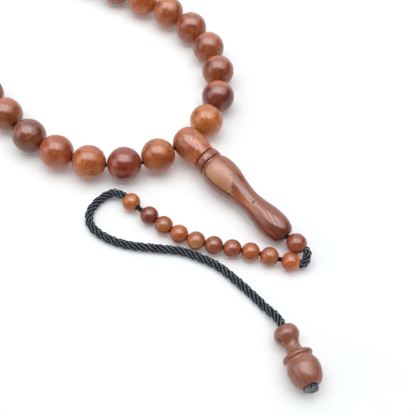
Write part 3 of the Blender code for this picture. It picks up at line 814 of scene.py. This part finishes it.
def press(mesh, line, width, depth):
    """Presses a groove into a turned mesh along a line of turns and heights."""
    (first_turn, first), (last_turn, last) = line
    for vertex in mesh.vertices:
        x, y, height = vertex.co
        radius = hypot(x, y)
        spot = Vector((atan2(y, x) * radius, height))
        ends = Vector((first_turn * radius, first)), Vector((last_turn * radius, last))
        share = min(1, max(0, intersect_point_line(spot, *ends)[1]))
        off = (spot - ends[0].lerp(ends[1], share)).length / width
        if off < 1:
            vertex.co.xy *= 1 - depth * (1 - off ** 2) / radius


def bead_outline(diameter, bore):
    """A ball from one mouth of its bore to the other, each mouth eased."""
    radius, inner = diameter / 2, bore / 2
    ease = bore * MOUTH_EASE
    widest = asin((inner + ease) / radius)
    lip = radius * cos(widest)
    outline = [(inner + across * ease, lip - down * ease) for across, down in MOUTH_RINGS]
    for step in range(BEAD_ARCS + 1):
        turn = widest + (pi - 2 * widest) * step / BEAD_ARCS
        outline.append((radius * sin(turn), radius * cos(turn)))
    return outline + [(across, -along) for across, along in outline[1::-1]]


def separator_outline():
    half, inner = SEPARATOR_LENGTH / 2, BEAD_MOUTH / 2
    shoulder = (BEAD_MOUTH + SEPARATOR_DIAMETER) / 4
    face = [
        (inner, half - SEPARATOR_EASE_DEPTH), (inner + SEPARATOR_EASE, half),
        (shoulder * SEPARATOR_FACE, half)]
    outline = [(radius, -height) for radius, height in face]
    for step in range(1, BEAD_ARCS):
        turn = pi * step / BEAD_ARCS
        bulge = (SEPARATOR_DIAMETER / 2 - shoulder) * sin(turn)
        outline.append((shoulder + bulge, -half * cos(turn)))
    return outline + face[::-1]


def head_outline():
    belly = HEAD_HOLE_TO_BELLY
    rounded = [(HEAD_DIAMETER / 2, belly)]
    round_over(rounded, HEAD_CAP_DIAMETER / 2, -HEAD_END_TO_HOLE, 2 * CURVE_STEPS)
    cap = [(HEAD_CAP_DIAMETER / 2 * share, -HEAD_END_TO_HOLE) for share in HEAD_CAP_RINGS]
    outline = cap + rounded[::-1]
    seat_turn = acos(HEAD_SEAT_DIAMETER / HEAD_DIAMETER)
    for step in range(1, CURVE_STEPS + 1):
        turn = seat_turn * step / CURVE_STEPS
        outline.append((
            HEAD_DIAMETER / 2 * cos(turn),
            belly + HEAD_BELLY_TO_SEAT * sin(turn) / sin(seat_turn)))
    seat = belly + HEAD_BELLY_TO_SEAT
    return soften(outline + [(STEM_BORE / 2, seat), (STEM_BORE / 2, seat - HEAD_BORE_DEPTH)])


def stem_outline():
    collar, groove = COLLAR_DIAMETER / 2, GROOVE_DIAMETER / 2
    outline = [(STEM_BORE / 2, 0), (collar - COLLAR_ROUND, 0)]
    round_out(outline, collar, COLLAR_ROUND, COLLAR_STEPS)
    outline.append((collar, COLLAR_THICKNESS - COLLAR_ROUND))
    round_over(outline, collar - COLLAR_ROUND, COLLAR_THICKNESS, COLLAR_STEPS)
    reach = COLLAR_THICKNESS + GROOVE_WIDTH
    outline += [(groove, COLLAR_THICKNESS + GROOVE_EASE), (groove, reach)]
    reach += GROOVE_TO_BULB
    round_out(outline, BULB_DIAMETER / 2, reach)
    for diameter, length in ((WAIST_DIAMETER, BULB_TO_WAIST), (FOOT_DIAMETER, WAIST_TO_FOOT)):
        reach += length
        swell(outline, diameter / 2, reach, STEM_STEPS)
    round_over(outline, TIP_MOUTH / 2 + TIP_RIM, STEM_LENGTH, 2 * CURVE_STEPS, FOOT_FULLNESS)
    return soften(outline + [(TIP_MOUTH / 2, STEM_LENGTH)])


def finial_outline():
    bore = FINIAL_BORE / 2
    outline = [(KNOB_DIAMETER / 2, TOP_TO_KNOB)]
    round_over(outline, bore + FINIAL_LIP, 0)
    outline = [(bore, 0)] + outline[::-1]
    reach = TOP_TO_KNOB + KNOB_TO_NECK
    swell(outline, bore + NECK_WALL, reach, 2 * CURVE_STEPS)
    reach += NECK_TO_FLANGE
    round_over(outline, FLANGE_SHOULDER, reach)
    reach += FLANGE_ROUND
    round_out(outline, FLANGE_DIAMETER / 2, reach)
    outline.append((FLANGE_DIAMETER / 2, reach + FLANGE_THICKNESS))
    reach += FLANGE_THICKNESS + FLANGE_TO_GROOVE
    outline.append((FINIAL_GROOVE_DIAMETER / 2, reach))
    reach += GROOVE_TO_FINIAL_BULB
    swell(outline, FINIAL_BULB_DIAMETER / 2, reach)
    reach += FINIAL_BULB_TO_END
    round_over(outline, FINIAL_END_DIAMETER / 2, reach)
    return soften(outline + [(bore, reach)])


def unit(rows):
    return rows / np.linalg.norm(rows, axis=1)[:, None]


def course(path):
    return unit(np.gradient(path, axis=0))


def round_about(turn, first, second):
    return np.cos(turn)[:, None] * first + np.sin(turn)[:, None] * second


def even_path(points, spacing):
    """The points of a path an even step apart, with a frame carried along it unturned."""
    points = np.array([tuple(point) for point in points])
    reach = np.concatenate([[0], np.cumsum(np.linalg.norm(np.diff(points, axis=0), axis=1))])
    count = int(round(reach[-1] / spacing))
    marks = np.linspace(0, reach[-1], count + 1)
    path = np.stack([np.interp(marks, reach, points[:, axis]) for axis in range(3)], axis=1)
    heading = course(path)
    side = np.zeros_like(path)
    first = np.cross(heading[0], (0, 0, 1.0))
    side[0] = first / np.linalg.norm(first)
    for index in range(1, len(path)):
        carried = side[index - 1] - heading[index] * np.dot(side[index - 1], heading[index])
        side[index] = carried / np.linalg.norm(carried)
    return marks, path, heading, side, np.cross(heading, side)


def strand_mesh(name, strands):
    """One mesh of many strands, each given as rings of points, with the strand's UV. A sunken strand
    has one place on the way round, where the cord's painted groove shade is darkest."""
    places, faces, uvs = [], [], []
    for rings, marks, *groove_shade in strands:
        count, sides = rings.shape[:2]
        base = len(places)
        places.extend(rings.reshape(-1, 3).tolist())
        for index in range(count - 1):
            first, second = base + index * sides, base + (index + 1) * sides
            before, behind = marks[index:index + 2]
            for step in range(sides):
                after = (step + 1) % sides
                faces.append((first + step, first + after, second + after, second + step))
                near, far = groove_shade * 2 or (step / sides, (step + 1) / sides)
                uvs += [(before, near), (before, far), (behind, far), (behind, near)]
        for ring, turn in ((0, -1), (count - 1, 1)):
            faces.append([base + ring * sides + step for step in range(sides)][::turn])
            uvs += [(marks[ring], 0.5)] * sides
    mesh = bpy.data.meshes.new(name)
    mesh.from_pydata(places, [], faces)
    mesh.uv_layers.new(name="strand").data.foreach_set("uv", np.array(uvs).ravel())
    mesh.shade_smooth()
    return mesh


def tube_rings(path, heading, width, depth, out, sides):
    """Rings of an oval tube, its depth measured along the given outward directions."""
    across = np.cross(heading, out)
    turns = 2 * pi * np.arange(sides) / sides
    return (path[:, None] + width * np.cos(turns)[None, :, None] * across[:, None]
            + depth * np.sin(turns)[None, :, None] * out[:, None])


def cable(name, points, diameter, lay, yarn_lay):
    """A rope of plies laid one way round, each ply of yarns twisted the other way."""
    radius = diameter / 2
    yarn, width, depth = radius * YARN_RADIUS, radius * YARN_WIDTH, radius * YARN_DEPTH
    middle = radius - depth - yarn
    stretch = hypot(1, 2 * pi * middle / lay)
    marks, path, heading, side, lift = even_path(points, yarn_lay / stretch / YARN_SAMPLES)
    strands = []
    for number in range(CABLE_PLIES):
        turn = 2 * pi * (number / CABLE_PLIES - marks / lay)
        out = round_about(turn, side, lift)
        ply = path + middle * out
        across = np.cross(course(ply), out)
        for single in range(PLY_YARNS):
            wind = 2 * pi * (single / PLY_YARNS - marks * stretch / yarn_lay)
            away = round_about(wind, across * width, out * depth)
            place = ply + away
            run = course(place)
            upward = unit(away - run * np.sum(away * run, axis=1)[:, None])
            rings = tube_rings(place, run, yarn, yarn, upward, YARN_SIDES)
            strands.append((rings, marks * stretch * YARN_UV))
    few = slice(None, None, YARN_SAMPLES // 2)
    core = tube_rings(path[few], heading[few], middle, middle, lift[few], CORE_SIDES)
    # the core lies wholly in the painted groove shade
    strands.append((core, marks[few] * STRAND_UV, GROOVE_SHADE_UV))
    return strand_mesh(name, strands)


def laid_rope(name, points, diameter, lay):
    """A rope of plies laid round one another."""
    marks, path, _, side, lift = even_path(points, STRING_SPACING)
    radius = diameter / 2
    share = sin(pi / STRING_PLIES)
    ply = radius * share / (1 + share)
    strands = []
    for number in range(STRING_PLIES):
        turn = 2 * pi * (marks / lay + number / STRING_PLIES)
        out = round_about(turn, side, lift)
        place = path + (radius - ply) * out
        rings = tube_rings(place, course(place), ply * PLY_SPREAD, ply, out, STRING_SIDES)
        strands.append((rings, marks * STRAND_UV))
    return strand_mesh(name, strands)


# Camera, stage and light

def make_camera():
    data = bpy.data.cameras.new("camera")
    data.sensor_width = SENSOR
    data.lens = FOCAL_PIXELS / IMAGE_WIDTH * SENSOR
    data.clip_start = CLIP_START
    tilt = Matrix.Rotation(pi / 2 - CAMERA_ELEVATION, 4, "X") @ Matrix.Rotation(CAMERA_ROLL, 4, "Z")
    stand = Matrix.Translation(LOOK_AT) @ tilt @ Matrix.Translation(UP * CAMERA_DISTANCE)
    bpy.context.scene.camera = add_object("camera", data, stand)


def make_stage():
    mesh = bpy.data.meshes.new("table")
    corners = [(x * TABLE_HALF, y * TABLE_HALF, 0) for x, y in ((-1, -1), (1, -1), (1, 1), (-1, 1))]
    mesh.from_pydata(corners, [], [(0, 1, 2, 3)])
    table = add_object("table", mesh, Matrix.Translation(-UP * TABLE_DROP))
    material, tree, shader = new_material("table_white")
    mesh.materials.append(material)
    tree.nodes.remove(shader)
    path = node(tree, "LightPath").outputs
    seen = maths("ADD", path["Is Camera Ray"], path["Is Glossy Ray"])
    seen = maths("ADD", seen, path["Is Transmission Ray"], clamp=True)
    paper = node(tree, "BsdfDiffuse", {"Color": TABLE_PAPER}).outputs[0]
    spot = node(tree, "NewGeometry").outputs["Position"]
    far = vectors("DISTANCE", spot, LOOK_AT)["Value"]
    paleness = ramp(far, *GLOW_DISTANCES, *GLOW_STRENGTHS)
    glow = node(tree, "Emission", {"Strength": paleness}).outputs[0]
    # painted light: the table glows on to the pieces from below, beyond what its paper reflects
    underlight = node(tree, "Emission", {"Strength": UNDERLIGHT_GLOW}).outputs[0]
    light = node(tree, "MixShader", {0: seen, 1: underlight, 2: glow}).outputs[0]
    surface = node(tree, "AddShader", {0: paper, 1: light}).outputs[0]
    plug(tree.nodes["Material Output"], {"Surface": surface})

    world = bpy.data.worlds.new("studio")
    bpy.context.scene.world = world
    world.use_nodes = True
    tree = world.node_tree
    rise = parts(node(tree, "TexCoord").outputs["Generated"])["Z"]
    sky = mixed(ramp(rise, 0.0, HORIZON_RISE), HORIZON, ROOM)
    plug(tree.nodes["Background"], {"Color": sky})


def add_lamp(name, offset, size, matte, sheen, overhead):
    place = LOOK_AT + Vector(offset)
    look = -UP if overhead else (LOOK_AT - place).normalized()
    for kind, radiance, back in (("matte", matte, MATTE_BEHIND), ("sheen", sheen, 0.0)):
        if not radiance:
            continue
        data = bpy.data.lights.new(f"{name}_{kind}", "AREA")
        data.shape = "RECTANGLE"
        data.size, data.size_y = size
        data.energy = radiance * pi * size[0] * size[1]
        lamp = add_object(data.name, data, facing(place - look * back, look, "-Z"))
        lamp.visible_diffuse = kind == "matte"
        lamp.visible_glossy = kind == "sheen"


# The object

def make_rope(cord):
    tip = IMAM_SEAT + IMAM_AXIS * STEM_LENGTH
    top, along = joint_place("finial_spin")
    length = finial_outline()[-1][1]
    ground = [Vector((tip.x + x, tip.y + y, 0)) for x, y in TAIL_ROUTE]
    line = smooth_points(ground + [top.xy.to_3d(), (top + along * length).xy.to_3d()])
    first = box_centre("counter_01").xy.to_3d()
    rim = COUNTER_HALF + FACE_GAP
    nearest = min(range(len(line)), key=lambda index: (line[index] - first).length)
    start = next(index for index in range(nearest, len(line)) if (line[index] - first).length >= rim)
    lead_in = [line[start - 1].lerp(line[start], step / START_STEPS) for step in range(START_STEPS)]
    line = [place for place in lead_in if (place - first).length >= rim] + line[start:-ROUTE_STEPS]
    reach = list(accumulate(((after - before).length for before, after in pairwise(line)), initial=0.0))
    low = ROPE_DIAMETER / 2
    path = []
    for place, gone in zip(line, reach):
        lead = level(1 - gone / ROPE_RISE)
        rise = level(1 - (reach[-1] - gone) / ROPE_RISE)
        path.append(place + UP * (low + (COUNTER_DIAMETER / 2 - low) * lead + (top.z - low) * rise))
    path += [top + along * length * share for share in (0.25, 0.5, 0.75, 1.0)]
    mesh = cable("rope", path, ROPE_DIAMETER, ROPE_LAY, YARN_LAY)
    rope = add_piece(mesh, ROOT, cord, "tail_rope")
    aside = along.cross(UP).normalized() * SEAL_ASIDE
    seal = make_seal(seal_fibre(), top + along * (length + SEAL_GAP) + aside, along)


def make_seal(cord, place, along):
    """The rope's end below the finial: yarns cut short and melted together."""
    chance = random.Random(SEAL_SEED)
    shape = bmesh.new()
    half = SEAL_DIAMETER / 2
    spots = [(0.0, 0.0)]
    for count, reach in SEAL_RINGS:
        turn = chance.random()
        spots += [(reach * half, 2 * pi * (step + turn) / count) for step in range(count)]
    for reach, turn in spots:
        width = half * chance.uniform(*STUB_WIDTHS)
        length = SEAL_LENGTH * chance.uniform(*STUB_LENGTHS)
        tilt = Matrix.Rotation(chance.uniform(-SEAL_TILT, SEAL_TILT), 4, "X")
        tilt = tilt @ Matrix.Rotation(chance.uniform(-SEAL_TILT, SEAL_TILT), 4, "Y")
        spot = Matrix.Translation((reach * cos(turn), reach * sin(turn), 0.0)) @ tilt
        rings = []
        for across, up in STUB_OUTLINE:
            ring = circle(width * across, length * up, STUB_SIDES)
            rings.append([shape.verts.new(spot @ point) for point in ring])
        skin(shape, rings, False)
    set_down = facing(place, Matrix.Rotation(SEAL_TURN, 3, "Z") @ along)
    mesh = made_mesh("rope_seal", shape)
    return add_piece(mesh, ROOT, cord, "rope_end_seal", set_down)


def threaded(names, previous):
    """The path of a string through pieces in their order, each from one mouth to the other."""
    path = []
    for name in names:
        centre, bore = strung_place(name)
        if bore.dot(centre - previous) < 0:
            bore = -bore
        half = bore * HALF_LENGTHS[name.split("_")[0]]
        path += [centre - half, centre + half]
        previous = centre
    return path


def make_cords(cord, string):
    """The cords inside the beads, the imam and the counters, and the doubled-back knot."""
    order = [f"bead_{number:02d}" for number in range(1, 34)]
    order.insert(order.index("bead_12"), "separator_01")
    order.insert(order.index("bead_23"), "separator_02")
    path = threaded(order, STRING_HOLE)
    lead = STEM_CORD_DIAMETER / 2 + FACE_GAP
    ends = [STRING_HOLE + (path[end] - STRING_HOLE).normalized() * lead for end in (0, -1)]
    path = ends[:1] + path + ends[1:]
    mesh = laid_rope("string", path, LOOP_CORD_DIAMETER, LOOP_LAY)
    add_piece(mesh, ROOT, string, "loop_cord")

    bead, heading = joint_place("stem_end_bead_spin")
    rim = sqrt(TIP_BEAD_DIAMETER ** 2 - STEM_BORE ** 2) / 2
    top = STRING_HOLE - IMAM_AXIS * LOOP_CORD_DIAMETER / 2
    bent = IMAM_SEAT + IMAM_AXIS * (STEM_LENGTH - TIP_BEND_DEPTH)
    path = [top, IMAM_SEAT, bent, bead + heading * rim]
    mesh = laid_rope("stem_string", path, STEM_CORD_DIAMETER, STEM_LAY)
    add_piece(mesh, ROOT, string, "stem_cord")

    order = [f"counter_{number:02d}" for number in range(10, 0, -1)]
    path = threaded(order, box_centre(order[0]) + Vector((1, 0, 0)))
    mesh = cable("counter_string", path, COUNTER_CORD_DIAMETER, COUNTER_LAY, COUNTER_YARN_LAY)
    add_piece(mesh, ROOT, string, "counter_cord")

    start = bead + heading * (rim + FACE_GAP)
    back = (path[0] - path[1]).normalized()
    end = path[0] + back * FACE_GAP
    curve = interpolate_bezier(
        start, start + heading * KNOT_REACH, end + back * KNOT_REACH, end, KNOT_STEPS)
    mesh = cable("knot", curve, KNOT_DIAMETER, ROPE_LAY, YARN_LAY)
    add_piece(mesh, ROOT, cord, "junction_knot")


def make_beads():
    chance = random.Random(CHOICE_SEED)
    ball = bead_outline(BEAD_DIAMETER, BEAD_MOUTH)
    for number in range(1, 34):
        like = number if number in BEAD_WOODS else chance.choice(list(BEAD_WOODS))
        marks = BEAD_MARKS.get(number, ())
        add_strung(f"bead_{number:02d}", BEAD_WOODS[like], ball, number, marks)
    flat = separator_outline()
    for number in (1, 2):
        seed = SEPARATOR_SEEDS + number
        add_strung(f"separator_{number:02d}", SEPARATOR_WOOD, flat, seed, uneven=SEPARATOR_UNEVEN)
    ball = bead_outline(COUNTER_DIAMETER, COUNTER_MOUTH)
    for number, colour in enumerate(COUNTER_WOODS, 1):
        add_strung(f"counter_{number:02d}", colour, ball, COUNTER_SEEDS + number)
    ball = bead_outline(TIP_BEAD_DIAMETER, TIP_MOUTH)
    add_strung("stem_end_bead", STEM_END_WOOD, ball, TIP_BEAD_SEED)


def add_strung(name, colour, outline, seed, marks=(), uneven=BEAD_UNEVEN):
    centre, axis = strung_place(name)
    place = facing(centre, axis)
    mesh = turned("wood_" + name, outline, BEAD_SEGMENTS, seed, uneven)
    pale = None
    # a bead's paler uppermost side is painted light from above
    if name in PALE_SIDES_AND_LIT_TOPS:
        towards = PALE_ELSEWHERE.get(name, LIT_TOP_TOWARDS).normalized()
        radius = max(outline)[0]
        pale = place.to_3x3().inverted() @ (towards * radius), PALE_SIDES_AND_LIT_TOPS[name]
    material = bead_wood("wood_" + name, colour, seed, 2 * outline[0][0], marks, pale)
    add_piece(mesh, name, material, name, place)


def add_grooved(name, stands_for, outline, uneven, seed, groove, wood):
    mesh = turned(name, outline, STEM_SEGMENTS, seed, uneven)
    press(mesh, *groove)
    place = facing(*joint_place(stands_for + "_spin"))
    add_piece(mesh, stands_for, wood(name, seed), stands_for, place)


def make_head():
    mesh = turned("wood_head", head_outline(), TURNED_SEGMENTS, HEAD_SEED, BEAD_UNEVEN, bored=False)
    material = bead_wood("wood_head", HEAD_WOOD, HEAD_SEED, HEAD_TOP_MARK)
    place = facing(STRING_HOLE, IMAM_AXIS)
    drill(add_piece(mesh, ROOT, material, "imam_head", place))


def drill(head):
    """Bores the head crosswise for the loop's string."""
    outline = [(HEAD_HOLE_DIAMETER / 2, end) for end in (-DRILL_REACH, DRILL_REACH)]
    cutter_mesh = turned("drill", outline, DRILL_SEGMENTS, 0, 0, bored=False)
    cutter = add_object("drill", cutter_mesh, head.matrix_world @ Matrix.Rotation(pi / 2, 4, "Y"))
    boolean = head.modifiers.new("side_hole", "BOOLEAN")
    boolean.operation = "DIFFERENCE"
    boolean.solver = "EXACT"
    boolean.object = cutter
    bpy.context.view_layer.update()
    finished = head.evaluated_get(bpy.context.evaluated_depsgraph_get())
    drilled = bpy.data.meshes.new_from_object(finished)
    head.modifiers.clear()
    head.data = drilled
    bpy.data.objects.remove(cutter)
    smooth(drilled)


make_camera()
make_stage()
for lamp_name, lamp in LAMPS.items():
    add_lamp(lamp_name, *lamp)
black_cord = cord_fibre("black_cord", CORD_WORN_AND_LIT)
make_rope(black_cord)
make_cords(black_cord, cord_fibre("black_string", STRING_WORN_AND_LIT))
make_beads()
add_grooved("wood_stem", "imam_stem",
            stem_outline(), STEM_UNEVEN, STEM_SEED, STEM_NICK, stem_wood)
make_head()
add_grooved("wood_finial", "finial",
            finial_outline(), FINIAL_UNEVEN, FINIAL_SEED, FINIAL_SPLIT, finial_wood)
bpy.context.scene.view_settings.view_transform = "Standard"
